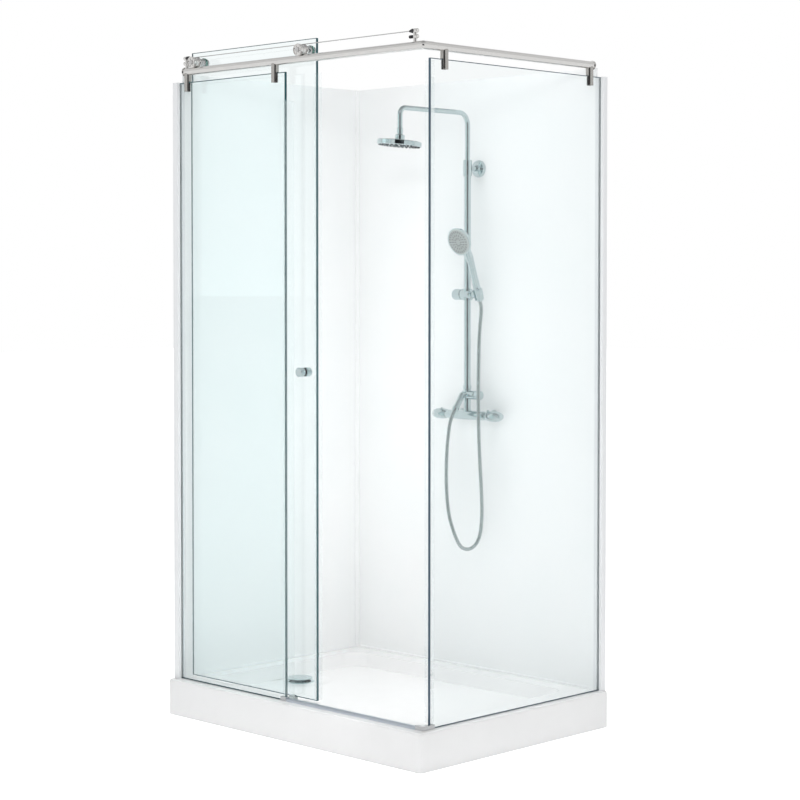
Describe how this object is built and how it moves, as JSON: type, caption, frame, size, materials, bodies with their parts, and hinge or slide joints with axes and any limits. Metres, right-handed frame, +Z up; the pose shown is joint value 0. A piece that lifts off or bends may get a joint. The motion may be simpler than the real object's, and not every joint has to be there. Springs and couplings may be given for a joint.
{
  "type": "shower enclosure with sliding door",
  "caption": "Corner shower enclosure: low tray, two wall panels, fixed glass, a glass door rolling on a round top rail, and a thermostatic shower column with rain head, handset and hose.",
  "frame": {"origin": "middle of the tray footprint, on the floor", "axes": "+X to the right along the sliding-door front, +Y to the back wall, +Z up"},
  "size_m": [1.2, 0.9, 2.256],
  "materials": {
    "tray_acrylic": "glossy",
    "galvanised_steel": "matt",
    "waste_plastic": "matt",
    "wall_panel": "glossy",
    "white_aluminium": "satin",
    "clear_glass": "clear",
    "clear_seal": "clear",
    "brushed_steel": "brushed",
    "bright_steel": "polished",
    "black_rubber": "matt",
    "green_gasket": "clear",
    "aluminium": "anodised",
    "guide_plastic": "satin",
    "chrome": "polished",
    "grey_spray_face": "satin",
    "hose_metal": "satin"
  },
  "bodies": {
    "enclosure": {"back_wall_panel": "wall_panel", "corner_foot": "brushed_steel", "corner_profile": "white_aluminium", "diverter_body": "chrome", "door_guide": "guide_plastic", "fixed_edge_seal": "clear_seal", "fixed_glass": "clear_glass", "fixed_glass_foot": "brushed_steel", "front_hangers": "brushed_steel", "front_rail": "brushed_steel", "glazing_seals": "clear_seal", "hanger_liners": "black_rubber", "hose_nut": "chrome", "left_wall_panel": "wall_panel", "levelling_feet": "galvanised_steel", "lift_guard_wire": "bright_steel", "lower_riser": "chrome", "mixer_body": "chrome", "rail_corner": "brushed_steel", "rail_end_caps": "brushed_steel", "riser_bracket": "chrome", "set_screws": "bright_steel", "shower_hose": "hose_metal", "shower_tray": "tray_acrylic", "side_glass": "clear_glass", "side_hangers": "brushed_steel", "side_rail": "brushed_steel", "stop_bumpers": "black_rubber", "stop_posts": "brushed_steel", "strike_seal": "clear_seal", "threshold_strip": "aluminium", "thumb_nuts": "brushed_steel", "tray_frame": "galvanised_steel", "upper_arm": "chrome", "wall_base_trims": "white_aluminium", "wall_end_profiles": "white_aluminium", "wall_unions": "chrome", "waste_flange": "chrome", "waste_trap": "waste_plastic", "wire_cones": "black_rubber"},
    "door": {"door_glass": "clear_glass", "door_edge_seal": "clear_seal", "roller_studs": "bright_steel", "roller_gaskets": "green_gasket", "roller_cap_nuts": "bright_steel", "door_knobs": "brushed_steel", "knob_gaskets": "black_rubber"},
    "left_wheel": {"roller_wheel_left": "brushed_steel"},
    "right_wheel": {"roller_wheel_right": "brushed_steel"},
    "waste_cap": {"drain_cap": "chrome"},
    "slider": {"slider_body": "chrome"},
    "slider_lock": {"slider_knob": "chrome"},
    "cradle": {"handset_cradle": "chrome", "handset_body": "chrome", "handset_face": "grey_spray_face"},
    "temperature_control": {"temperature_handle": "chrome"},
    "flow_control": {"flow_handle": "chrome"},
    "diverter_control": {"diverter_knob": "chrome"},
    "rain_ball": {"rain_head_ball": "chrome"},
    "rain_rose": {"rain_head": "chrome"}
  },
  "joints": [
    {"name": "door_slide", "type": "slide", "parent": "enclosure", "child": "door", "axis": [1, 0, 0], "range_m": [0, 0.4615]},
    {"name": "left_wheel_spin", "type": "hinge", "parent": "door", "child": "left_wheel", "pos_m": [-0.497, -0.4094, 2.217], "axis": [0, 1, 0], "range_deg": [0, 1745]},
    {"name": "right_wheel_spin", "type": "hinge", "parent": "door", "child": "right_wheel", "pos_m": [0.032, -0.4094, 2.217], "axis": [0, 1, 0], "range_deg": [0, 1745]},
    {"name": "waste_cap_lift", "type": "slide", "parent": "enclosure", "child": "waste_cap", "axis": [0, 0, 1], "range_m": [0, 0.05]},
    {"name": "slider_travel", "type": "slide", "parent": "enclosure", "child": "slider", "axis": [0, 0, 1], "range_m": [-0.27, 0.36], "deforming": ["shower_hose"]},
    {"name": "slider_lock_turn", "type": "hinge", "parent": "slider", "child": "slider_lock", "pos_m": [0.03, 0.37, 1.435], "axis": [1, 0, 0], "range_deg": [0, 180]},
    {"name": "handset_tilt", "type": "hinge", "parent": "slider", "child": "cradle", "pos_m": [0.082, 0.37, 1.435], "axis": [1, 0, 0], "range_deg": [-15, 15]},
    {"name": "temperature_turn", "type": "hinge", "parent": "enclosure", "child": "temperature_control", "pos_m": [0.03, 0.37, 1.016], "axis": [1, 0, 0], "range_deg": [-90, 90]},
    {"name": "flow_turn", "type": "hinge", "parent": "enclosure", "child": "flow_control", "pos_m": [0.03, 0.37, 1.016], "axis": [1, 0, 0], "range_deg": [0, 120]},
    {"name": "diverter_turn", "type": "hinge", "parent": "enclosure", "child": "diverter_control", "pos_m": [0.03, 0.37, 1.086], "axis": [1, 0, 0], "range_deg": [0, 90]},
    {"name": "rain_head_swivel", "type": "hinge", "parent": "enclosure", "child": "rain_ball", "pos_m": [0.03, 0.04, 1.966], "axis": [0, 0, 1], "range_deg": [-180, 180]},
    {"name": "rain_head_tilt", "type": "hinge", "parent": "rain_ball", "child": "rain_rose", "pos_m": [0.03, 0.04, 1.966], "axis": [1, 0, 0], "range_deg": [-12, 12]}
  ],
  "couplings": [
    {"joint": "left_wheel_spin", "follows": "door_slide", "rad_per_m": 65.79},
    {"joint": "right_wheel_spin", "follows": "door_slide", "rad_per_m": 65.79}
  ]
}
